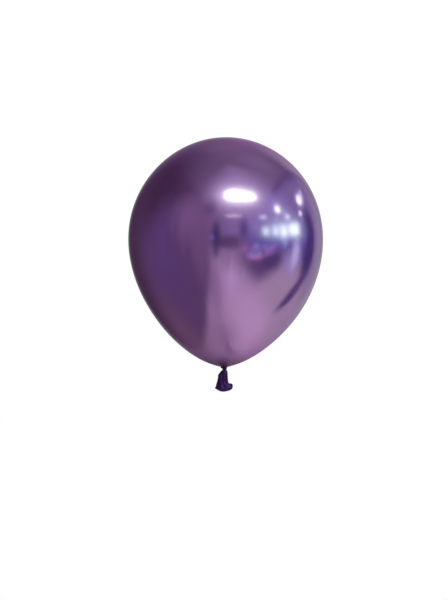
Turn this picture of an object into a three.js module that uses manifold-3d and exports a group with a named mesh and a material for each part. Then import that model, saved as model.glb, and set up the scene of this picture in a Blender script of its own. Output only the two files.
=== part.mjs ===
// A latex party balloon, inflated and knotted by hand.
// Millimetres, +Z up. The origin is on the axis at the throat, where the body ends and the knot
// begins, so it is the point that a ribbon, a cup or a stick holds. The wide face of the tail is
// seen along +Y, and +X is to the right there.
//
// The balloon is one dipped film. Each mesh is the film in one state: blown up, gathered, wound
// into the knot, pulled through it, pinched below it, or left slack as the tail with its rolled lip.

import * as THREE from 'three';
import { mergeVertices } from 'three/addons/utils/BufferGeometryUtils.js';
import Module from 'manifold-3d';

const wasm = await Module();
wasm.setup();

// Driving dimensions of the blown-up body
const bodyWidth = 280;
const bodyHeight = 330; // throat plane to crown
const filmWall = 0.35; // a wall that can be modelled; real film is far thinner
const throatRadius = 7.2; // the round opening where the film turns into the gathered neck

// The outline between the throat (-1) and the crown (+1): round at the crown, and closing to the
// throat as a power of the height, which gives the pear shape
const neckPower = 0.618;
const outlineTilt = 0.0125;
const outlineSquare = -0.036;

// Gathered neck and knot, all inside spheres about the point that the neck bends at
const neckPivot = new THREE.Vector3(0, 0, -0.5);
const gatherRadius = 6.2;
const gatherInner = 5.7;
const gatherEdgeAngle = THREE.MathUtils.degToRad(82);
const gatherPleats = 12;
const pleatHeight = 0.18;
const loopRadius = 3.65;
const loopThickness = 3;
const loopTilt = THREE.MathUtils.degToRad(18);
const strandRadius = 1.75;
const fitGap = 0.3;

// Pinched root and slack tail, about the point that the tail bends at
const tailPivot = new THREE.Vector3(0, 0, -4.8);
const rootRadius = 1.7;
const rootPleats = 6;
const sleeveTop = -6.9;
const sleeveRoof = 1.9; // thickness of the closed top of the sleeve
const sleeveHalfWidth = 6.9;
const sleeveHalfDepth = 3.5;
const sleeveWall = 0.8;
const sleeveLean = -2; // how far the middle of the tail strays to one side

// Rolled lip around the filling mouth
const lipHalfWidth = 12;
const lipHalfDepth = 5.3;
const lipThickness = 2.3;
const lipEndZ = -28.6; // height of the lip's core at its left end
const lipFrontBow = 5.5; // how much lower the middle of the lip hangs, at the front
const lipBackBow = 4.2;
const lipCurl = 3.2; // how far the right end turns up

// Mesh density
const bodySides = 44;
const bodyRows = 20;
const knotSides = 24;
const tailSides = 28;
const tailRows = 9;
const lipSteps = 40;
const ringSides = 8; // round the section of the loop and of the lip
const pleatSides = 3;
const gatherRows = 5;

function skin(colour, roughness, metalness) {
  return new THREE.MeshStandardMaterial({ color: colour, roughness, metalness });
}

const pearlFilm = () => skin(0x7a5484, 0.22, 0.7);
const slackFilm = () => skin(0x3a2a5c, 0.4, 0.35);

// Turns a lathe solid, made about Y, so that its axis is Z
function lathe(profile, sides) {
  const outline = profile.map(([radius, height]) => new THREE.Vector2(radius, height));
  return new THREE.LatheGeometry(outline, sides).rotateX(Math.PI / 2);
}

// Moves each vertex of a geometry to where the function puts it
function warp(geometry, place) {
  const positions = geometry.getAttribute('position');
  const vertex = new THREE.Vector3();
  for (let i = 0; i < positions.count; i += 1) {
    vertex.fromBufferAttribute(positions, i);
    place(vertex);
    positions.setXYZ(i, vertex.x, vertex.y, vertex.z);
  }
  return geometry;
}

function toSolid(geometry) {
  const bare = geometry.clone();
  bare.deleteAttribute('normal');
  bare.deleteAttribute('uv');
  const merged = mergeVertices(bare, 1e-5);
  return new wasm.Manifold(new wasm.Mesh({
    numProp: 3,
    vertProperties: new Float32Array(merged.getAttribute('position').array),
    triVerts: new Uint32Array(merged.getIndex().array),
  }));
}

function toGeometry(solid) {
  const { vertProperties, triVerts } = solid.getMesh();
  const geometry = new THREE.BufferGeometry();
  geometry.setAttribute('position', new THREE.BufferAttribute(new Float32Array(vertProperties), 3));
  geometry.setIndex(new THREE.BufferAttribute(new Uint32Array(triVerts), 1));
  geometry.computeVertexNormals();
  return geometry;
}

function cut(geometry, tool) {
  return toGeometry(toSolid(geometry).subtract(toSolid(tool)));
}

// The outline before it is scaled: 0 at both ends, widest a little above the middle
function outline(t) {
  return Math.sqrt(1 - t) * (1 + t) ** neckPower * (1 + outlineTilt * t + outlineSquare * t * t);
}

function widestOutline() {
  let widest = 0;
  for (let t = -1; t < 1; t += 0.001) {
    widest = Math.max(widest, outline(t));
  }
  return widest;
}

const outlineScale = bodyWidth / 2 / widestOutline();

function bodyPoint(angle) {
  const t = -Math.cos(angle);
  return new THREE.Vector2(outlineScale * outline(t), bodyHeight * (1 + t) / 2);
}

// The angle at which the body has closed down to the throat's radius, found by halving
function throatAngle() {
  let low = 0;
  let high = Math.PI / 2;
  for (let step = 0; step < 40; step += 1) {
    const middle = (low + high) / 2;
    if (bodyPoint(middle).x < throatRadius) {
      low = middle;
    } else {
      high = middle;
    }
  }
  return high;
}

// Points from the throat to the crown, a distance inside the outer surface
function bodyProfile(inset) {
  const first = throatAngle();
  const nudge = 1e-3;
  const profile = [];
  for (let row = 0; row < bodyRows; row += 1) {
    const angle = first + (Math.PI - first) * row / bodyRows;
    const point = bodyPoint(angle);
    const along = bodyPoint(angle + nudge).sub(bodyPoint(angle - nudge)).normalize();
    profile.push([point.x - along.y * inset, point.y + along.x * inset]);
  }
  profile.push([0, bodyHeight - inset]);
  return profile;
}

// The blown-up body: a thin shell with the throat open at the bottom
function envelopeGeometry() {
  const outer = bodyProfile(0);
  const inner = bodyProfile(filmWall);
  const outerSolid = lathe([[0, outer[0][1]], ...outer], bodySides);
  const innerSolid = lathe([[0, 0], [inner[0][0], 0], ...inner], bodySides);
  return cut(outerSolid, innerSolid);
}

// Arc of a sphere about the neck's bending point, as a lathe profile from its edge to its top
function gatherArc(radius) {
  const points = [];
  for (let row = 0; row <= gatherRows; row += 1) {
    const polar = gatherEdgeAngle * (1 - row / gatherRows);
    points.push([radius * Math.sin(polar), radius * Math.cos(polar)]);
  }
  points[gatherRows][0] = 0;
  return points;
}

// The gathered neck: a pleated cap between the throat and the knot
function neckGatherGeometry() {
  const profile = [...gatherArc(gatherInner).reverse(), ...gatherArc(gatherRadius)];
  const cap = lathe(profile, gatherPleats * pleatSides);
  const between = (gatherInner + gatherRadius) / 2;
  return warp(cap, (vertex) => {
    const reach = vertex.length();
    if (reach > between) {
      const ridge = Math.cos(gatherPleats * Math.atan2(vertex.y, vertex.x));
      const fade = Math.hypot(vertex.x, vertex.y) / gatherRadius;
      vertex.setLength(reach + pleatHeight * ridge * fade);
    }
  });
}

// The turn of film wound round the neck, slightly tilted
function loopGeometry(thickness) {
  const turn = new THREE.TorusGeometry(loopRadius, thickness / 2, ringSides, knotSides);
  return turn.rotateY(loopTilt);
}

// The film pulled through the loop: narrow in the loop, wider above and below it
function strandGeometry() {
  const profile = [
    [0, -2.2],
    [2.6, -2.1],
    [3, -1.6],
    [strandRadius, 0],
    [2.2, 1.7],
    [3.1, 2.9],
    [2.5, 3.8],
    [0, 4.1],
  ];
  return cut(lathe(profile, knotSides), loopGeometry(loopThickness + 2 * fitGap));
}

// The pleats pinched together just below the knot
function tailRootGeometry() {
  const ball = new THREE.SphereGeometry(rootRadius, rootPleats * 4, 8).rotateX(Math.PI / 2);
  return warp(ball, (vertex) => {
    const valley = (1 - Math.cos(rootPleats * Math.atan2(vertex.y, vertex.x))) / 2;
    const depth = 1 - 0.14 * valley * Math.hypot(vertex.x, vertex.y) / rootRadius;
    vertex.x *= depth;
    vertex.y *= depth;
  });
}

// Height of the lip's core round the mouth: side is -1 to 1 across X, face is -1 front to 1 back
function lipHeight(side, face) {
  const bow = face < 0 ? lipFrontBow : lipBackBow;
  const curl = lipCurl * Math.max(0, side) ** 4;
  return lipEndZ - bow * (1 - side * side) + curl;
}

// Sideways centre of the tail between its top (0) and its mouth (1)
function tailCentre(down) {
  return sleeveLean * Math.sin(Math.PI * Math.min(down, 1));
}

function sleeveHalves(down) {
  const share = THREE.MathUtils.clamp(down, 0, 1);
  return {
    width: THREE.MathUtils.lerp(sleeveHalfWidth, lipHalfWidth, share ** 3),
    depth: THREE.MathUtils.lerp(sleeveHalfDepth, lipHalfDepth, share ** 1.5),
  };
}

// A column of unit radius, bent into the oval tail; heights run from 0 at the top to -1 at the mouth
function ovalColumn(top, bottom, inset) {
  const profile = [[0, -bottom]];
  for (let row = 0; row <= tailRows; row += 1) {
    profile.push([1, -THREE.MathUtils.lerp(bottom, top, row / tailRows)]);
  }
  profile.push([0, -top]);
  return warp(lathe(profile, tailSides), (vertex) => {
    const down = -vertex.z;
    const side = vertex.x;
    const face = vertex.y;
    const halves = sleeveHalves(down);
    const mouth = lipHeight(side, face) + lipThickness / 2 + 2 * fitGap;
    vertex.x = tailCentre(down) + side * (halves.width - inset);
    vertex.y = face * (halves.depth - inset);
    vertex.z = sleeveTop + down * (mouth - sleeveTop);
  });
}

// The slack tail: closed at the top and open at the mouth
function tailSleeveGeometry() {
  const length = sleeveTop - lipEndZ;
  return cut(ovalColumn(0, 1, 0), ovalColumn(sleeveRoof / length, 1.15, sleeveWall));
}

// The rolled lip: a round ring laid along the oval mouth
function lipBeadGeometry() {
  const radius = lipThickness / 2;
  const coreRadius = 2 * lipThickness; // only has to leave a hole before the ring is laid out
  const ring = new THREE.TorusGeometry(coreRadius, radius, ringSides, lipSteps);
  return warp(ring, (vertex) => {
    const angle = Math.atan2(vertex.y, vertex.x);
    const outward = Math.hypot(vertex.x, vertex.y) - coreRadius;
    const side = Math.cos(angle);
    const face = Math.sin(angle);
    vertex.x = side * (lipHalfWidth + outward);
    vertex.y = face * (lipHalfDepth + outward);
    vertex.z += lipHeight(side, face);
  });
}

function piece(name, geometry, material, place) {
  const mesh = new THREE.Mesh(geometry, material);
  mesh.name = name;
  if (place) {
    mesh.position.copy(place);
  }
  return mesh;
}

const balloon = new THREE.Group();
balloon.add(piece('envelope', envelopeGeometry(), pearlFilm()));

const knot = new THREE.Group();
knot.position.copy(neckPivot);
knot.add(piece('neck_gather', neckGatherGeometry(), pearlFilm()));
knot.add(piece('knot_loop', loopGeometry(loopThickness), slackFilm()));
knot.add(piece('knot_strand', strandGeometry(), slackFilm()));
balloon.add(knot);

const tail = new THREE.Group();
tail.add(piece('tail_root', tailRootGeometry(), slackFilm(), tailPivot));
tail.add(piece('tail_sleeve', tailSleeveGeometry(), slackFilm()));
tail.add(piece('lip_bead', lipBeadGeometry(), slackFilm()));
balloon.add(tail);

export default balloon;
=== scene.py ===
"""Looks for the latex party balloon: one film, blown up, gathered, knotted, and slack at its tail.

Metres, +Z up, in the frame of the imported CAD. The origin is at the throat, under the body. The
camera looks along +Y, so -Y is the front and +X is the right.
"""

import math
import random

import bpy
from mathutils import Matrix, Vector


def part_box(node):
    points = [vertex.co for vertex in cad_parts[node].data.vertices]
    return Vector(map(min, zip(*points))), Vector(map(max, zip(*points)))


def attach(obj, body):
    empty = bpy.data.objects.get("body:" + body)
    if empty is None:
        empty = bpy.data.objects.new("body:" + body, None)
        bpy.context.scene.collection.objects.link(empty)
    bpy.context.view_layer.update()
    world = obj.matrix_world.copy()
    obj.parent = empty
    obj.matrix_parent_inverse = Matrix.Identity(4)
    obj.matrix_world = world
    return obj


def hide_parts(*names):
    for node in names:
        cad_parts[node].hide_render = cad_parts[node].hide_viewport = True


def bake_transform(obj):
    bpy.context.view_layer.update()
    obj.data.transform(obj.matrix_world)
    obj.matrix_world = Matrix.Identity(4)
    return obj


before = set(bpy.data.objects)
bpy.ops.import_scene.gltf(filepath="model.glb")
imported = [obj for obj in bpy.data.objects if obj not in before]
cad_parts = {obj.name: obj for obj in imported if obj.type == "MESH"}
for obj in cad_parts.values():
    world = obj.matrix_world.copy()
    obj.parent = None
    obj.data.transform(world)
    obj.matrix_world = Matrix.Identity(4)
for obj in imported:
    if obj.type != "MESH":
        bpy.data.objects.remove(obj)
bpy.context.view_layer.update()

MM = 0.001

# ---------------------------------------------------------------- sizes from the frame

BODY_LOW, BODY_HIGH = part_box("envelope")
FACET_ALLOWANCE = 1.002  # the CAD's facets lie just inside the true round
BODY_RADIUS = FACET_ALLOWANCE * (BODY_HIGH.x - BODY_LOW.x) / 2
CROWN_Z = BODY_HIGH.z

# The outline of the body, as in the CAD: t runs from -1 at the throat to +1 at the crown
NECK_POWER = 0.618
OUTLINE_TILT = 0.0125
OUTLINE_SQUARE = -0.036


def mix(a, b, share):
    return a + (b - a) * share


def smooth(low, high, value):
    """0 up to low, 1 from high on, and an S between them. Low may be above high."""
    share = min(1, max(0, (value - low) / (high - low)))
    return share * share * (3 - 2 * share)


def through(points, at):
    """A gently rounded line y(x) through a short list of (x, y) points, in rising order of x."""
    if at <= points[0][0]:
        return points[0][1]
    for (x0, y0), (x1, y1) in zip(points, points[1:]):
        if at <= x1:
            return mix(y0, y1, smooth(x0, x1, at) * 0.35 + 0.65 * (at - x0) / (x1 - x0))
    return points[-1][1]


# ---------------------------------------------------------------- mesh tools

BAND_SIDES = 40  # points round a band or strip of gathered film
STEM_SIDES = 80  # points round the stem and the tail's root


def loft(name, rings, loop=False):
    """A closed skin over rings of points. Unless it loops, each end is closed with a fan."""
    sides = len(rings[0])
    vertices = [point for ring in rings for point in ring]
    faces = []
    spans = len(rings) if loop else len(rings) - 1
    for row in range(spans):
        here = row * sides
        there = (row + 1) % len(rings) * sides
        for side in range(sides):
            after = (side + 1) % sides
            faces.append((here + side, here + after, there + after, there + side))
    if not loop:
        for ring, flip in ((0, True), (len(rings) - 1, False)):
            centre = len(vertices)
            vertices.append(sum((Vector(p) for p in rings[ring]), Vector()) / sides)
            for side in range(sides):
                pair = (ring * sides + side, ring * sides + (side + 1) % sides)
                faces.append((*(pair[::-1] if flip else pair), centre))
    mesh = bpy.data.meshes.new(name)
    mesh.from_pydata([tuple(v) for v in vertices], [], faces)
    mesh.shade_smooth()
    mesh.update()
    piece = bpy.data.objects.new(name, mesh)
    bpy.context.scene.collection.objects.link(piece)
    return piece


def arc_points(points, count):
    """Points along a Catmull-Rom curve through the given points."""
    knots = [Vector(p) for p in points]
    ends = [2 * knots[0] - knots[1], *knots, 2 * knots[-1] - knots[-2]]
    found = []
    for step in range(count):
        place = step / (count - 1) * (len(knots) - 1)
        span = min(int(place), len(knots) - 2)
        t = place - span
        a, b, c, d = ends[span:span + 4]
        found.append(0.5 * (2 * b + (c - a) * t + (2 * a - 5 * b + 4 * c - d) * t * t
                            + (3 * b - a - 3 * c + d) * t ** 3))
    return found


# ---------------------------------------------------------------- the blown-up body

BODY_SIDES = 240
BODY_ROWS = 150
ROW_CROWDING = 1.35  # above 1 the rows are closer together near the neck
CROWN_ROWS = (0.016, 0.008, 0.003)  # the last rows, as angles short of the crown

# How the middle of the body strays to the right of the throat: from and to which share of the
# height, and how far in mm
LEANS = [(-0.05, 0.28, 2.7), (0.35, 0.6, -0.35), (0.62, 0.95, 0.7)]

# Below this radius the film leaves the round outline and turns down into the neck
NECK_START = 8 * MM
NECK_TURN = Vector((4.6, 0.4)) * MM  # radius and height of the bend's corner
NECK_END = Vector((3.1, -0.7)) * MM
NECK_ROWS = 18

PLEATS = 26
PLEAT_DEPTH = 0.5 * MM
PLEATS_REACH = 24 * MM  # how far from the axis the longest pleat may run
PLEATS_FULL = 3.5 * MM  # within this radius every pleat has its full depth


def outline(t):
    return math.sqrt(1 - t) * (1 + t) ** NECK_POWER * (1 + OUTLINE_TILT * t + OUTLINE_SQUARE * t * t)


WIDEST = max(outline(-1 + step / 500) for step in range(1001))


def body_point(angle):
    """Radius and height of the film at an angle that runs from 0 at the throat to pi at the crown."""
    t = -math.cos(angle)
    return Vector((BODY_RADIUS * outline(t) / WIDEST, CROWN_Z * (1 + t) / 2))


def neck_angle():
    low, high = 0, math.pi / 2
    for _ in range(40):
        middle = (low + high) / 2
        if body_point(middle).x < NECK_START:
            low = middle
        else:
            high = middle
    return high


def body_profile():
    """Radius and height from inside the knot up to just below the crown."""
    first = neck_angle()
    top_of_neck = body_point(first)
    profile = []
    for row in range(NECK_ROWS):
        t = row / NECK_ROWS
        turn = mix(NECK_END, NECK_TURN, t)
        profile.append(mix(turn, mix(NECK_TURN, top_of_neck, t), t))
    for row in range(BODY_ROWS):
        share = (row / BODY_ROWS) ** ROW_CROWDING
        profile.append(body_point(first + (math.pi - first) * share))
    for short_of_crown in CROWN_ROWS:
        profile.append(body_point(math.pi - short_of_crown))
    return profile


def make_pleats():
    """Irregular pleats round the neck: where, how wide, how deep and how far out each one reaches."""
    draw = random.Random(11)
    return [
        {
            "angle": (index + draw.uniform(-0.32, 0.32)) * 2 * math.pi / PLEATS,
            "width": draw.uniform(0.05, 0.1),
            "depth": draw.uniform(0.35, 1.0) * draw.choice((1, 1, -0.7)),
            "reach": draw.uniform(7 * MM, PLEATS_REACH),
        }
        for index in range(PLEATS)
    ]


def pleat_height(pleats, angle, radius):
    height = 0
    for pleat in pleats:
        away = (angle - pleat["angle"] + math.pi) % (2 * math.pi) - math.pi
        fade = smooth(pleat["reach"], PLEATS_FULL, radius)
        height += pleat["depth"] * fade * math.exp(-(away / pleat["width"]) ** 2)
    return PLEAT_DEPTH * height


def body_lean(height):
    share = height / CROWN_Z
    return sum(far * MM * smooth(start, end, share) for start, end, far in LEANS)


def make_body_film():
    pleats = make_pleats()
    profile = body_profile()
    rings = []
    for row, point in enumerate(profile):
        before = profile[max(0, row - 1)]
        after = profile[min(len(profile) - 1, row + 1)]
        along = (after - before).normalized()
        lean = body_lean(point.y)
        pleated = point.x < PLEATS_REACH and point.y < CROWN_Z / 2
        ring = []
        for side in range(BODY_SIDES):
            angle = side * 2 * math.pi / BODY_SIDES
            out = pleat_height(pleats, angle, point.x) if pleated else 0
            radius = point.x + along.y * out
            ring.append((lean + radius * math.cos(angle), radius * math.sin(angle),
                         point.y - along.x * out))
        rings.append(ring)
    return loft("body_film", rings)


# ---------------------------------------------------------------- the knot

def sweep(name, centres, section, outward, loop=False):
    """A band swept along points. section(share, angle) gives (across, out) and outward(point) which
    way the band faces."""
    count = len(centres)
    rings = []
    for index, centre in enumerate(centres):
        if loop:
            ahead = centres[(index + 1) % count] - centres[index - 1]
        else:
            ahead = centres[min(count - 1, index + 1)] - centres[max(0, index - 1)]
        along = ahead.normalized()
        out = outward(centre)
        out = (out - out.dot(along) * along).normalized()
        across = along.cross(out)
        ring = []
        for side in range(BAND_SIDES):
            angle = side * 2 * math.pi / BAND_SIDES
            wide, high = section(index / (count - 1), angle)
            ring.append(centre + across * wide + out * high)
        rings.append(ring)
    return loft(name, rings, loop)


def pleated_band(width, thickness, grooves, depth, swell):
    """The section of a gathered strip: an oval with grooves along its faces, wider at mid-length."""
    def section(share, angle):
        bulge = 1 + swell * math.sin(math.pi * share)
        groove = 1 - depth * (0.5 + 0.5 * math.cos(grooves * angle + 1.7 * share))
        return (width / 2 * bulge * math.cos(angle) * (0.6 + 0.4 * groove),
                thickness / 2 * bulge * math.sin(angle) * groove)
    return section


def away_from_axis(point):
    return Vector((point.x, point.y, 0)).normalized()


WRAP_STEPS = 96
WRAP_HALF_WIDTH = 3.294 * MM
WRAP_HALF_DEPTH = 2.8975 * MM
WRAP_OFFSET = -0.25 * MM
WRAP_Z = -0.8 * MM
WRAP_SLANT = 0.42 * MM  # how much higher it is at the left, and lower at the right
WRAP_WAVE = 0.2 * MM
WRAP_BAND = (1.5 * MM, 1.2 * MM)  # half the height and half the thickness of the band


def make_knot_wrap():
    """The turn of gathered film wound round the neck, higher at the left than at the right."""
    centres = []
    for step in range(WRAP_STEPS):
        angle = step * 2 * math.pi / WRAP_STEPS
        side = math.cos(angle)
        centres.append(Vector((
            WRAP_HALF_WIDTH * side + WRAP_OFFSET,
            WRAP_HALF_DEPTH * math.sin(angle),
            WRAP_Z - WRAP_SLANT * side + WRAP_WAVE * math.sin(2 * angle),
        )))

    def section(share, angle):
        swell = 1 + 0.14 * math.cos(2 * math.pi * (share - 0.47))
        groove = 1 - 0.13 * (0.5 + 0.5 * math.cos(9 * angle + 7 * math.pi * share))
        across, out = WRAP_BAND
        return across * swell * groove * math.cos(angle), out * swell * groove * math.sin(angle)

    return sweep("knot_wrap", centres, section, away_from_axis, loop=True)


STRAND_STEPS = 34
STRAND_WIDTH = 4.4 * MM
STRAND_THICKNESS = 1.7 * MM

# Where the strand runs, in mm: out of the neck, down over the turn at the front, into the tail
STRAND_ROUTE = [
    (0.3, -1.5, 2.3),
    (1.6, -3.3, 1.2),
    (2.4, -3.8, -0.7),
    (2.6, -3.2, -2.5),
    (2.3, -2.1, -3.9),
    (1.5, -1.1, -5.0),
]


def make_knot_strand():
    """The strip pulled down over the turn at the front, from the neck into the tail."""
    centres = arc_points([Vector(point) * MM for point in STRAND_ROUTE], STRAND_STEPS)
    section = pleated_band(STRAND_WIDTH, STRAND_THICKNESS, grooves=7, depth=0.3, swell=0.06)
    return sweep("knot_strand_film", centres, section, away_from_axis)


def grooved_rings(count, ends, radii, grooves, depth, twist, offset=0.0, flatness=1.0):
    """Rings of a gathered stem, from ends[0] to ends[1] in height, with grooves along it."""
    rings = []
    for row in range(count):
        share = row / (count - 1)
        height = mix(*ends, share)
        radius = mix(*radii, share)
        ring = []
        for side in range(STEM_SIDES):
            angle = side * 2 * math.pi / STEM_SIDES
            groove = 1 - depth * (0.5 + 0.5 * math.cos(grooves * angle + twist * share))
            ring.append((offset + radius * groove * math.cos(angle),
                         radius * groove * math.sin(angle) * flatness, height))
        rings.append(ring)
    return rings


def make_neck_stem():
    """The gathered neck inside the turn."""
    rings = grooved_rings(count=20, ends=(-1.4 * MM, 1.0 * MM), radii=(2.7 * MM, 3.0 * MM), grooves=11,
                          depth=0.12, twist=3)
    return loft("neck_stem", rings)


# ---------------------------------------------------------------- the tail

TAIL_TOP = -3.2 * MM
TAIL_SIDES = 200
TAIL_ROWS = 110
INNER_ROWS = 96  # the inside stops short of the knot, where the film closes
TAIL_WALL = 0.5 * MM
LIP_RADIUS = 1.1 * MM
LIP_STEPS = 160
LIP_SIDES = 20
LIP_END_Z = -29.8 * MM
LIP_FRONT_BOW = 4.4 * MM
LIP_BACK_BOW = 3.6 * MM
LIP_CURL = 3.8 * MM  # how far the back of the lip is turned up at the right
CRIMP = 0.07 * MM  # the finest wrinkles

# Share of the way down from the knot to the mouth, and how far the edge is from the axis, in mm
LEFT_EDGE = [(0, -1.5), (0.04, -2.4), (0.15, -5.2), (0.28, -7.9), (0.36, -8.6), (0.5, -8.8),
             (0.66, -9.8), (0.83, -11.1), (1, -12.2)]
RIGHT_EDGE = [(0, 2.0), (0.05, 3.4), (0.12, 4.7), (0.2, 5.3), (0.36, 5.4), (0.54, 5.5), (0.7, 5.9),
              (0.87, 6.5), (0.905, 7.1), (0.925, 8.6), (0.945, 11.2), (0.965, 11.8), (1, 11.9)]
HALF_DEPTH = [(0, 2.2), (0.1, 2.3), (0.3, 3.0), (0.6, 3.3), (0.85, 3.3), (1, 3.3)]

# Creases and ridges along the tail: the angle round it in degrees (0 right, 270 front), how far
# that drifts on the way down, width in degrees, height in mm (negative is a crease), and where
# along the tail it starts and ends
FOLDS = [
    (285, -8, 17, 1.0, -0.1, 0.75),
    (312, -4, 9, -1.1, 0.1, 0.8),
    (335, -2, 10, 0.5, 0.2, 0.95),
    (262, 22, 10, -1.0, 0.35, 1.0),
    (240, 12, 16, 0.7, 0.1, 1.0),
    (222, -6, 9, -0.9, 0.25, 0.85),
    (200, -2, 9, 0.4, 0.1, 0.9),
    (150, 8, 14, 0.7, -0.1, 0.8),
    (128, 6, 9, -0.9, 0.1, 0.9),
    (104, -10, 15, 0.8, 0.0, 0.9),
    (80, -10, 9, -1.0, 0.2, 0.95),
    (52, 6, 14, 0.8, 0.0, 0.8),
    (28, 4, 9, -0.7, 0.1, 0.9),
]
FOLD_FADE = 0.25  # over how much of the tail a fold rises or dies away


def lip_height(angle):
    """Height of the core of the lip, by the angle round the mouth: 0 right, 270 degrees front."""
    side = math.cos(angle)
    face = math.sin(angle)
    bow = mix(LIP_FRONT_BOW, LIP_BACK_BOW, smooth(-0.6, 0.6, face))
    curl = LIP_CURL * smooth(0.25, 0.8, side) * smooth(-0.3, 0.2, face)
    ripple = 0.25 * MM * math.sin(5 * angle + 0.6)
    return LIP_END_Z - bow * (1 - abs(side) ** 3) + curl + ripple


def fold_height(angle, share):
    degrees = math.degrees(angle)
    height = 0
    for place, drift, width, size, start, end in FOLDS:
        away = (degrees - place - drift * share + 180) % 360 - 180
        middle = (start + end) / 2
        rise = smooth(start, min(middle, start + FOLD_FADE), share)
        fall = smooth(end, max(middle, end - FOLD_FADE), share)
        height += size * MM * rise * fall * math.exp(-(away / width) ** 2)
    return height


def crimp_height(angle, share):
    across = math.sin(31 * angle + 6 * math.sin(9 * share))
    along = math.sin(17 * share + 3 * math.sin(3 * angle))
    return CRIMP * across * along


def tail_point(angle, share, inset):
    left = through(LEFT_EDGE, share) * MM
    right = through(RIGHT_EDGE, share) * MM
    depth = through(HALF_DEPTH, share) * MM
    side = math.cos(angle)
    face = math.sin(angle)
    out = fold_height(angle, share) * (0.35 + 0.65 * abs(face)) + crimp_height(angle, share) - inset
    mouth = lip_height(angle) + 0.6 * LIP_RADIUS
    return Vector((
        (left + right) / 2 + ((right - left) / 2 + out) * side,
        (depth + out) * face,
        mix(TAIL_TOP, mouth, share),
    ))


def make_tail_film():
    """The slack tail: a hollow, folded sleeve that is open at the mouth."""
    def ring(share, inset):
        step = 2 * math.pi / TAIL_SIDES
        return [tail_point(side * step, share, inset) for side in range(TAIL_SIDES)]

    last_inside = TAIL_ROWS - INNER_ROWS
    outer = [ring(row / TAIL_ROWS, 0) for row in range(TAIL_ROWS + 1)]
    inner = [ring(row / TAIL_ROWS, TAIL_WALL) for row in range(TAIL_ROWS, last_inside, -1)]
    return loft("tail_film", outer + inner)


def make_tail_root():
    """The pinched pleats between the knot and the tail."""
    rings = grooved_rings(count=24, ends=(-1.9 * MM, -7.6 * MM), radii=(2.9 * MM, 2.1 * MM), grooves=8,
                          depth=0.16, twist=2, offset=0.3 * MM, flatness=0.85)
    return loft("tail_root_film", rings[::-1])


def make_lip():
    """The rolled rim round the filling mouth."""
    centres = []
    for step in range(LIP_STEPS):
        angle = step * 2 * math.pi / LIP_STEPS
        rim = tail_point(angle, 1, TAIL_WALL / 2)
        centres.append(Vector((rim.x, rim.y, lip_height(angle))))
    rings = []
    for index, centre in enumerate(centres):
        along = (centres[(index + 1) % LIP_STEPS] - centres[index - 1]).normalized()
        out = Vector((along.y, -along.x, 0)).normalized()
        up = along.cross(out)
        turn = 2 * math.pi * index / LIP_STEPS
        radius = LIP_RADIUS * (1 + 0.05 * math.sin(3 * turn) + 0.03 * math.sin(11 * turn))
        ring = []
        for side in range(LIP_SIDES):
            angle = side * 2 * math.pi / LIP_SIDES
            ring.append(centre + out * radius * math.cos(angle) + up * radius * math.sin(angle))
        rings.append(ring)
    return loft("rolled_lip", rings, loop=True)


# ---------------------------------------------------------------- materials

class Nodes:
    """Short ways to add and join shader nodes."""

    def __init__(self, tree):
        self.tree = tree
        tree.nodes.clear()

    def add(self, kind, inputs=(), **settings):
        node = self.tree.nodes.new(kind)
        for key, value in settings.items():
            setattr(node, key, value)
        for key, value in dict(inputs).items():
            socket = node.inputs[key]
            if isinstance(value, bpy.types.NodeSocket):
                self.tree.links.new(value, socket)
            else:
                socket.default_value = value
        return node

    def math(self, operation, *values):
        return self.add("ShaderNodeMath", enumerate(values), operation=operation).outputs[0]

    def blend(self, share, a, b):
        node = self.add("ShaderNodeMix", {0: share, 6: a, 7: b}, data_type="RGBA")
        return node.outputs[2]

    def ramp(self, value, low, high, to_low=0.0, to_high=1.0):
        inputs = {"Value": value, "From Min": low, "From Max": high, "To Min": to_low, "To Max": to_high}
        return self.add("ShaderNodeMapRange", inputs, interpolation_type="SMOOTHSTEP").outputs[0]

    def noise(self, place, scale, detail=3.0):
        inputs = {"Vector": place, "Scale": scale, "Detail": detail}
        return self.add("ShaderNodeTexNoise", inputs).outputs[0]

    def bump(self, height, strength, distance, normal=None):
        inputs = {"Height": height, "Strength": strength, "Distance": distance}
        if normal is not None:
            inputs["Normal"] = normal
        return self.add("ShaderNodeBump", inputs).outputs[0]


def new_material(name):
    material = bpy.data.materials.new(name)
    material.use_nodes = True
    return material, Nodes(material.node_tree)


def finish_material(nodes, inputs):
    shader = nodes.add("ShaderNodeBsdfPrincipled", inputs)
    nodes.add("ShaderNodeOutputMaterial", {"Surface": shader.outputs[0]})


DEEPER_AND_SHADED_BELOW = 20 * MM  # the film is thicker, and so deeper in colour, from here down to the throat, and part of that darkening is painted shade of the knot and tail
HAZY_BELOW = 34 * MM  # and less stretched, so less of a mirror
HAZIEST = 5 * MM
# The thick spot where the dip began, measured down from the crown: where it starts and is full
CROWN_SPOT = (1.3 * MM, 0.4 * MM)

FILM_COLOUR = (0.50, 0.205, 0.62, 1)
# The deeper colour of the thicker film, also used as painted shade near the throat
FILM_DEEP_AND_SHADED = (0.28, 0.12, 0.28, 1)
FILM_RIM = (0.74, 0.56, 0.78, 1)  # the tint of its reflections near grazing
SLACK_COLOUR = (0.085, 0.030, 0.185, 1)
SLACK_DARK = (0.040, 0.012, 0.055, 1)
SLACK_GLOSS = (0.60, 0.34, 0.95, 1)


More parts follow.
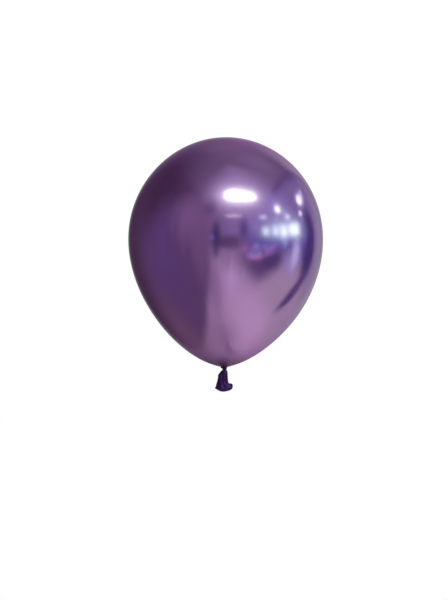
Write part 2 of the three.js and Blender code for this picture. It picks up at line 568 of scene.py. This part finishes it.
def make_stretched_film():
    """Metallic latex blown up thin: a tinted mirror with a slight haze, deeper where it is thicker, and
    darkened near the throat with painted shade.
    """
    material, nodes = new_material("stretched_film")
    place = nodes.add("ShaderNodeTexCoord").outputs["Object"]
    height = nodes.add("ShaderNodeSeparateXYZ", {0: place}).outputs[2]
    # Painted shade: the colour darkens towards the throat, partly for the thicker film and partly for
    # the shade of the knot and tail
    neck_depth_and_shade = nodes.ramp(height, DEEPER_AND_SHADED_BELOW, 0.0)
    crown_spot = nodes.ramp(height, CROWN_Z - CROWN_SPOT[0], CROWN_Z - CROWN_SPOT[1], 0.0, 0.6)
    cloud = nodes.noise(place, 22.0, 2.0)
    # This share mixes the thicker film with the painted shade near the throat
    thick = nodes.math("MAXIMUM", neck_depth_and_shade, crown_spot)
    thick = nodes.math("ADD", thick, nodes.math("MULTIPLY", cloud, 0.16))
    colour = nodes.blend(nodes.math("MINIMUM", thick, 1.0), FILM_COLOUR, FILM_DEEP_AND_SHADED)
    haze = nodes.ramp(nodes.noise(place, 60.0, 4.0), 0.3, 0.7, 0.13, 0.165)
    haze = nodes.math("ADD", haze, nodes.ramp(height, HAZY_BELOW, HAZIEST, 0.0, 0.36))
    ripple = nodes.bump(nodes.noise(place, 45.0, 2.0), 0.25, 0.0004)
    grain = nodes.bump(nodes.noise(place, 1400.0, 2.0), 0.06, 0.00005, ripple)
    finish_material(nodes, {
        "Base Color": colour,
        "Metallic": 1.0,
        "Roughness": haze,
        "Specular Tint": FILM_RIM,
        "Coat Weight": 0.08,
        "Coat Roughness": 0.12,
        "Coat IOR": 1.52,
        "Normal": grain,
    })
    return material


def make_slack_film():
    """The same latex unstretched: thick, deep in colour and only satin."""
    material, nodes = new_material("slack_film")
    place = nodes.add("ShaderNodeTexCoord").outputs["Object"]
    cloud = nodes.noise(place, 260.0, 3.0)
    colour = nodes.blend(nodes.ramp(cloud, 0.28, 0.72), SLACK_DARK, SLACK_COLOUR)
    wrinkles = nodes.bump(nodes.noise(place, 900.0, 4.0), 0.35, 0.0002)
    finish_material(nodes, {
        "Base Color": colour,
        "Metallic": 0.85,
        "Roughness": nodes.ramp(cloud, 0.3, 0.7, 0.3, 0.42),
        "Specular Tint": SLACK_GLOSS,
        "Normal": wrinkles,
    })
    return material


# ---------------------------------------------------------------- studio

# What stands round the balloon, painted from back to front. Azimuth is 0 at the camera and grows
# to the right, in degrees: name, azimuth, elevation, half width, half height, tilt, squareness
# (2 is an oval, more is a rounded box, less a diamond), softness of the edge, colour and opacity
STUDIO = [
    # Ceiling and the back of the room
    ("ceiling_bounce", 26, 54, 56, 32, 0, 2, 1.0, (0.62, 0.90, 0.72), 0.9),
    ("ceiling_plum", -8, 46, 18, 16, 0, 2, 0.9, (0.52, 0.58, 0.54), 0.6),
    ("ceiling_right", 122, 64, 40, 20, 0, 2, 1.0, (0.34, 0.47, 0.37), 1),
    ("backdrop", 180, 0, 34, 75, 0, 3, 0.5, (0.36, 0.46, 0.36), 1),
    ("backdrop_right", 154, 2, 15, 40, 0, 2.5, 0.7, (0.60, 1.08, 0.58), 1),
    ("backdrop_edge", 171, -8, 14, 48, 0, 2.5, 0.4, (0.55, 0.51, 0.54), 1),
    ("bright_floor", 75, -60, 92, 24, 0, 2.5, 0.8, (0.84, 1.12, 0.75), 1),
    ("floor_glow", 9, -38, 15, 12, 0, 2, 1.0, (0.80, 1.06, 0.76), 1),
    # The umbrella over the right half of the room
    ("umbrella_edge", 98, 8, 59, 38.5, 0, 2, 0.05, (0.20, 0.25, 0.30), 1),
    ("umbrella", 97, 7, 55, 34.5, 0, 2, 0.12, (0.35, 0.50, 0.50), 1),
    ("floor_right", 104, -32, 62, 20, 0, 2.5, 0.7, (0.65, 0.95, 0.58), 1),
    ("right_wall", 143, 0, 14, 30, 0, 2, 1.0, (0.57, 1.00, 0.56), 1),
    ("violet_glow", 64, 30, 24, 13, 0, 2, 1.0, (0.52, 0.80, 0.80), 0.9),
    ("grey_wall", 72, 18, 22, 10, 0, 2, 0.9, (0.50, 0.92, 0.76), 1),
    ("left_wall", 34, 17, 17, 17, 0, 2, 0.9, (0.44, 0.64, 0.68), 0.9),
    ("dark_table", 44.5, -13, 30.5, 25.5, 0.05, 1.5, 0.5, (0.20, 0.205, 0.245), 1),
    ("table_shadow", 57, -18, 18, 8, 0.14, 1.8, 0.9, (0.13, 0.145, 0.22), 1),
    ("blue_wall", 62, -3, 40, 7, 0, 2.5, 0.8, (0.22, 0.37, 0.54), 1),
    ("dark_post", 40.5, 9, 2.2, 8, 0, 3, 0.7, (0.14, 0.26, 0.40), 0.8),
    # Chairs round the table
    ("chair_left", 21, -10, 5.5, 4.5, 0, 2, 0.8, (0.56, 0.50, 0.48), 1),
    ("chair_front", 36, -16.5, 11, 2.8, 0.10, 2, 0.8, (0.80, 0.80, 0.72), 1),
    ("chair_right", 53, -10, 8, 4.5, 0.2, 2, 0.8, (0.44, 0.50, 0.58), 1),
    ("chair_rail", 56, -7, 6, 1.4, 0.35, 2, 0.7, (0.66, 0.84, 0.92), 0.9),
    ("chair_seat_a", 35, -10, 8, 5, 0, 2, 0.8, (0.38, 0.60, 0.72), 1),
    ("chair_seat_b", 29, -15, 5, 2, 0, 2, 0.7, (0.50, 0.96, 0.94), 0.9),
    ("chair_seat_c", 46, -7.5, 4, 2.4, 0, 2, 0.7, (0.32, 0.78, 0.84), 0.9),
    ("chair_knob", 36, -6.5, 2.2, 1.8, 0, 2, 0.7, (0.72, 1.30, 1.10), 0.9),
    ("chair_arm", 49, -11, 1.6, 4, 0, 2, 0.7, (0.70, 0.62, 0.66), 0.8),
    ("chair_light", 41, -13.5, 3, 1.4, 0.3, 2, 0.7, (0.62, 1.05, 1.00), 0.8),
    ("chair_gap", 43, -3, 6, 2, 0, 2, 0.8, (0.16, 0.30, 0.50), 0.8),
    # The way out to the right
    ("door_glow", 84, -17, 12, 9, 0, 2, 1.0, (0.58, 0.88, 0.76), 0.9),
    ("bright_door", 91, -9, 6.5, 11, 0, 2, 0.9, (0.94, 1.85, 1.20), 1),
    ("dark_doorway", 115, -1, 12.5, 20, 0, 2.6, 0.40, (0.11, 0.14, 0.23), 1),
    ("doorway_side", 105, 3, 5, 12, 0, 2, 0.8, (0.17, 0.30, 0.50), 0.9),
    ("doorway_foot", 111, -29, 10.5, 10.5, 1.15, 2, 0.5, (0.14, 0.16, 0.24), 1),
    # The stand right in front
    ("stand_shade", 3, 5, 22, 16, 0, 2.5, 0.7, (0.34, 0.44, 0.44), 1),
    ("stand_column", 9, 11, 8, 9, 0, 2.5, 0.8, (0.38, 0.52, 0.50), 1),
    ("stand_base", 3, -4, 16, 7, 0, 2.5, 0.8, (0.14, 0.155, 0.18), 1),
    ("stand_left", -11.5, 1, 6.5, 18, 0, 2.5, 0.7, (0.10, 0.11, 0.17), 1),
    ("stand_foot", -12, -15, 3, 5, 0, 2, 0.7, (0.16, 0.16, 0.22), 0.8),
    ("stand_right", 21, 9, 6, 12, 0, 2, 0.8, (0.17, 0.21, 0.31), 1),
    ("blue_lamp", -16, 1, 2.2, 2.2, 0, 2, 0.8, (0.36, 0.80, 1.30), 1),
    ("blue_sign", 30, 2, 3, 4, 0, 2, 0.8, (0.22, 0.40, 0.68), 0.9),
    # Faint streaks on the floor in front
    ("streak_a", -5, -22, 1.4, 9, 0, 2, 0.8, (0.34, 0.40, 0.38), 0.7),
    ("streak_b", 3, -20, 1.4, 8, 0, 2, 0.8, (0.34, 0.40, 0.38), 0.7),
    ("streak_c", 11, -24, 1.6, 10, 0, 2, 0.8, (0.44, 0.52, 0.48), 0.7),
    ("streak_d", 18, -26, 1.6, 11, 0, 2, 0.8, (0.42, 0.48, 0.48), 0.7),
    ("floor_line", 8, -38, 3.5, 18, 0, 2, 0.9, (0.88, 1.20, 0.86), 0.7),
    ("floor_line_b", -7, -34, 3, 14, 0, 2, 0.9, (0.80, 1.06, 0.78), 0.6),
    # The black flag on the left, and what it faintly picks up
    ("floor_shade", -19, -46, 14, 27, 0, 2, 0.9, (0.41, 0.48, 0.42), 0.8),
    ("flag", -88, -8, 70, 64.5, 0, 2.5, 0.10, (0.185, 0.19, 0.20), 1),
    ("flag_shade", -108, 36, 62, 36, 0, 2, 0.9, (0.085, 0.08, 0.09), 1),
    ("flag_side", -142, -5, 26, 40, 0, 2, 0.9, (0.11, 0.12, 0.10), 0.9),
    ("flag_blue", -76, -8, 26, 42, 0, 2, 1.0, (0.18, 0.19, 0.26), 0.9),
    ("flag_sheen", -44, 22, 26, 24, 0, 2, 1.0, (0.32, 0.36, 0.34), 0.9),
    ("flag_plum", -30, 0, 13, 42, 0, 2, 0.9, (0.29, 0.31, 0.30), 0.8),
    ("flag_foot", -132, -50, 34, 22, 0, 2, 1.0, (0.25, 0.27, 0.20), 0.85),
    ("flag_streak_a", -71, 2, 2.6, 34, 0, 2, 0.9, (0.15, 0.15, 0.20), 0.5),
    ("flag_streak_b", -60, 4, 2.4, 32, 0, 2, 0.9, (0.16, 0.16, 0.19), 0.5),
    ("flag_streak_c", -51, 6, 2.2, 28, 0, 2, 0.9, (0.36, 0.37, 0.38), 0.4),
    ("curtain_gap", -19, 32, 9, 9, 0, 2, 0.8, (0.19, 0.20, 0.24), 1),
    ("low_shadow", 166, -66, 12, 24, 0, 2, 0.8, (0.30, 0.30, 0.30), 0.8),
    # The key softbox and its glow
    ("key_halo", 19, 44.5, 40, 19, -0.05, 2, 1.0, (0.88, 1.44, 0.92), 1),
    ("key_glow", 19, 44.8, 28, 10.5, -0.06, 2.3, 1.0, (1.7, 3.6, 1.6), 1),
    ("key_box", 15, 45.2, 16, 5.8, -0.04, 2.6, 0.7, (6.2, 13.2, 5.5), 1),
    ("key_box_end", 32, 43, 12, 4.4, -0.09, 2.6, 0.7, (6.2, 13.2, 5.5), 1),
    # Ceiling lamps and windows
    ("ceiling_strip", 9.5, 22.5, 10, 1.8, -0.02, 3, 0.8, (1.3, 2.3, 1.3), 1),
    ("lamp_a", 46, 20, 5.5, 2.2, 0, 2, 0.9, (1.6, 3.4, 1.8), 1),
    ("lamp_b", 69, 26, 5.0, 3.8, 0.1, 2, 0.9, (3.8, 8.6, 3.8), 1),
    ("lamp_b_glare", 74, 25, 8, 3, -0.9, 2, 0.9, (0.9, 1.8, 1.1), 0.7),
    ("lamp_c", 80, 18, 3.6, 2.0, 0, 2, 0.9, (2.4, 6.0, 2.6), 1),
    ("lamp_d", 113, 25.2, 6.2, 2.8, 0.05, 2, 1.0, (4.8, 10.8, 4.5), 1),
    ("lamp_d_glare", 119, 25.5, 9, 2.6, 0.1, 2, 0.9, (1.6, 3.2, 1.7), 0.8),
    ("lamp_e", 104, 17.8, 3.0, 1.4, 0, 2, 0.8, (3.0, 6.4, 3.2), 1),
    ("lamp_f", 63, 17, 3.6, 1.4, 0, 2, 0.8, (0.75, 1.6, 1.1), 1),
    ("window_glow", 71, 7.5, 33, 8.2, 0.02, 3, 0.9, (0.78, 1.85, 1.18), 0.9),
    ("window_a", 47.5, 6.8, 5.0, 3.9, 0, 3, 1.0, (1.6, 4.4, 1.8), 1),
    ("window_b", 60.5, 7.2, 4.8, 4.3, 0, 3, 1.0, (1.8, 5.0, 2.0), 1),
    ("window_c", 71.5, 6.6, 5.8, 5.8, 0, 3, 1.0, (2.1, 5.7, 2.3), 1),
    ("window_sill", 73, -2, 3.4, 4, 0, 2, 0.9, (0.62, 1.50, 1.05), 0.9),
    ("window_d", 87.5, 8.0, 9.6, 4.9, 0, 3.5, 0.8, (2.3, 6.3, 2.4), 1),
]

# Colour of the room by elevation, from straight down to straight up
ROOM = [
    (-90, (0.44, 0.52, 0.40)),
    (-76, (0.48, 0.62, 0.44)),
    (-62, (0.56, 0.74, 0.51)),
    (-40, (0.60, 0.82, 0.55)),
    (-20, (0.52, 0.72, 0.51)),
    (0, (0.42, 0.58, 0.47)),
    (20, (0.34, 0.43, 0.40)),
    (45, (0.24, 0.30, 0.27)),
    (90, (0.23, 0.30, 0.25)),
]


def make_card_group():
    """A node group that says how much of a card is seen in a direction."""
    tree = bpy.data.node_groups.new("studio_card", "ShaderNodeTree")
    names = ["Azimuth", "Elevation", "At azimuth", "At elevation", "Half width", "Half height", "Tilt",
             "Squareness", "Softness"]
    for name in names:
        tree.interface.new_socket(name, in_out="INPUT", socket_type="NodeSocketFloat")
    tree.interface.new_socket("Seen", in_out="OUTPUT", socket_type="NodeSocketFloat")
    nodes = Nodes(tree)
    given = nodes.add("NodeGroupInput").outputs
    turn = nodes.math("ADD", nodes.math("SUBTRACT", given[0], given[2]), 180.0)
    turn = nodes.math("SUBTRACT", nodes.math("FLOORED_MODULO", turn, 360.0), 180.0)
    rise = nodes.math("SUBTRACT", nodes.math("SUBTRACT", given[1], given[3]),
                      nodes.math("MULTIPLY", turn, given[6]))
    across = nodes.math("POWER", nodes.math("ABSOLUTE", nodes.math("DIVIDE", turn, given[4])), given[7])
    up = nodes.math("POWER", nodes.math("ABSOLUTE", nodes.math("DIVIDE", rise, given[5])), given[7])
    reach = nodes.math("POWER", nodes.math("ADD", across, up), nodes.math("DIVIDE", 1.0, given[7]))
    outer = nodes.math("ADD", 1.0, nodes.math("MULTIPLY", given[8], 0.5))
    inner = nodes.math("SUBTRACT", 1.0, nodes.math("MULTIPLY", given[8], 0.9))
    seen = nodes.ramp(reach, outer, inner)
    nodes.add("NodeGroupOutput", {"Seen": seen})
    return tree


def make_studio():
    """The room as the glossy film sees it; plain white for the camera and for matt surfaces."""
    world = bpy.data.worlds.new("studio")
    bpy.context.scene.world = world
    world.use_nodes = True
    nodes = Nodes(world.node_tree)
    direction = nodes.add("ShaderNodeTexCoord").outputs["Generated"]
    parts = nodes.add("ShaderNodeSeparateXYZ", {0: direction}).outputs
    azimuth = nodes.math("ARCTAN2", parts[0], nodes.math("MULTIPLY", parts[1], -1.0))
    azimuth = nodes.math("DEGREES", azimuth)
    elevation = nodes.math("DEGREES", nodes.math("ARCSINE", parts[2]))
    rise = nodes.math("DIVIDE", nodes.math("ADD", elevation, 90.0), 180.0)
    room = nodes.add("ShaderNodeValToRGB", {0: rise})
    stops = room.color_ramp.elements
    for index, (height, colour) in enumerate(ROOM):
        share = (height + 90) / 180
        stop = stops[index] if index < 2 else stops.new(share)
        stop.position = share
        stop.color = (*colour, 1)
    seen_colour = room.outputs[0]
    card = make_card_group()
    for name, *sizes, colour, opacity in STUDIO:
        inputs = dict(enumerate([azimuth, elevation, *map(float, sizes)]))
        node = nodes.tree.nodes.new("ShaderNodeGroup")
        node.node_tree = card
        node.label = name
        for key, value in inputs.items():
            if isinstance(value, float):
                node.inputs[key].default_value = value
            else:
                nodes.tree.links.new(value, node.inputs[key])
        share = nodes.math("MULTIPLY", node.outputs[0], float(opacity))
        seen_colour = nodes.blend(share, seen_colour, (*colour, 1))
    glossy = nodes.add("ShaderNodeBackground", {"Color": seen_colour, "Strength": 1.0})
    white = nodes.add("ShaderNodeBackground", {"Color": (1, 1, 1, 1), "Strength": 1.0})
    is_glossy = nodes.add("ShaderNodeLightPath").outputs["Is Glossy Ray"]
    both = nodes.add("ShaderNodeMixShader", {0: is_glossy, 1: white.outputs[0], 2: glossy.outputs[0]})
    nodes.add("ShaderNodeOutputWorld", {"Surface": both.outputs[0]})


def make_floor():
    """A plain pale floor that fades to the white of the studio."""
    mesh = bpy.data.meshes.new("floor")
    half = 6
    height = -0.6
    mesh.from_pydata([(-half, -half, height), (half, -half, height), (half, half, height),
                      (-half, half, height)], [], [(0, 1, 2, 3)])
    floor = bpy.data.objects.new("floor", mesh)
    bpy.context.scene.collection.objects.link(floor)
    material, nodes = new_material("pale_floor")
    place = nodes.add("ShaderNodeTexCoord").outputs["Object"]
    pale = nodes.blend(nodes.noise(place, 3.0), (0.93, 0.93, 0.93, 1), (0.95, 0.95, 0.95, 1))
    flat = nodes.add("ShaderNodeVectorMath", {0: place, 1: (1, 1, 0)}, operation="MULTIPLY").outputs[0]
    distance = nodes.add("ShaderNodeVectorMath", {0: flat}, operation="LENGTH").outputs["Value"]
    colour = nodes.blend(nodes.ramp(distance, 0.2, 1.1), pale, (1, 1, 1, 1))
    finish_material(nodes, {"Base Color": colour, "Roughness": 0.9, "Specular IOR Level": 0.0})
    floor.data.materials.append(material)
    floor.visible_glossy = False


def make_camera():
    """Level with the middle of the picture, two metres away."""
    distance = 2.0
    field_height = 0.864
    aim = Vector((-0.7 * MM, 0, 96.3 * MM))
    data = bpy.data.cameras.new("camera")
    data.sensor_fit = "VERTICAL"
    data.sensor_height = 24
    data.lens = data.sensor_height * distance / field_height
    camera = bpy.data.objects.new("camera", data)
    camera.location = aim + Vector((0, -distance, 0))
    camera.rotation_euler = (math.pi / 2, 0, 0)
    bpy.context.scene.collection.objects.link(camera)
    bpy.context.scene.camera = camera


# ---------------------------------------------------------------- putting it together

def dress(piece, material, slot, *nodes):
    piece.data.materials.append(material)
    if nodes:
        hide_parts(*nodes)


def build_balloon():
    stretched = make_stretched_film()
    slack = make_slack_film()

    body = make_body_film()
    dress(body, stretched, "pearl_film", "envelope")
    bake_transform(body)

    stem = make_neck_stem()
    dress(stem, slack, "pearl_film", "neck_gather")
    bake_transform(stem)

    wrap = make_knot_wrap()
    dress(wrap, slack, "slack_film", "knot_loop")
    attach(wrap, "knot")

    strand = make_knot_strand()
    dress(strand, slack, "slack_film", "knot_strand")
    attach(strand, "knot")

    root = make_tail_root()
    dress(root, slack, "slack_film", "tail_root")
    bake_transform(root)

    tail = make_tail_film()
    dress(tail, slack, "slack_film", "tail_sleeve")
    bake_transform(tail)

    lip = make_lip()
    dress(lip, slack, "slack_film", "lip_bead")
    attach(lip, "tail")


make_camera()
build_balloon()
make_studio()
make_floor()
bpy.context.scene.view_settings.view_transform = "Standard"
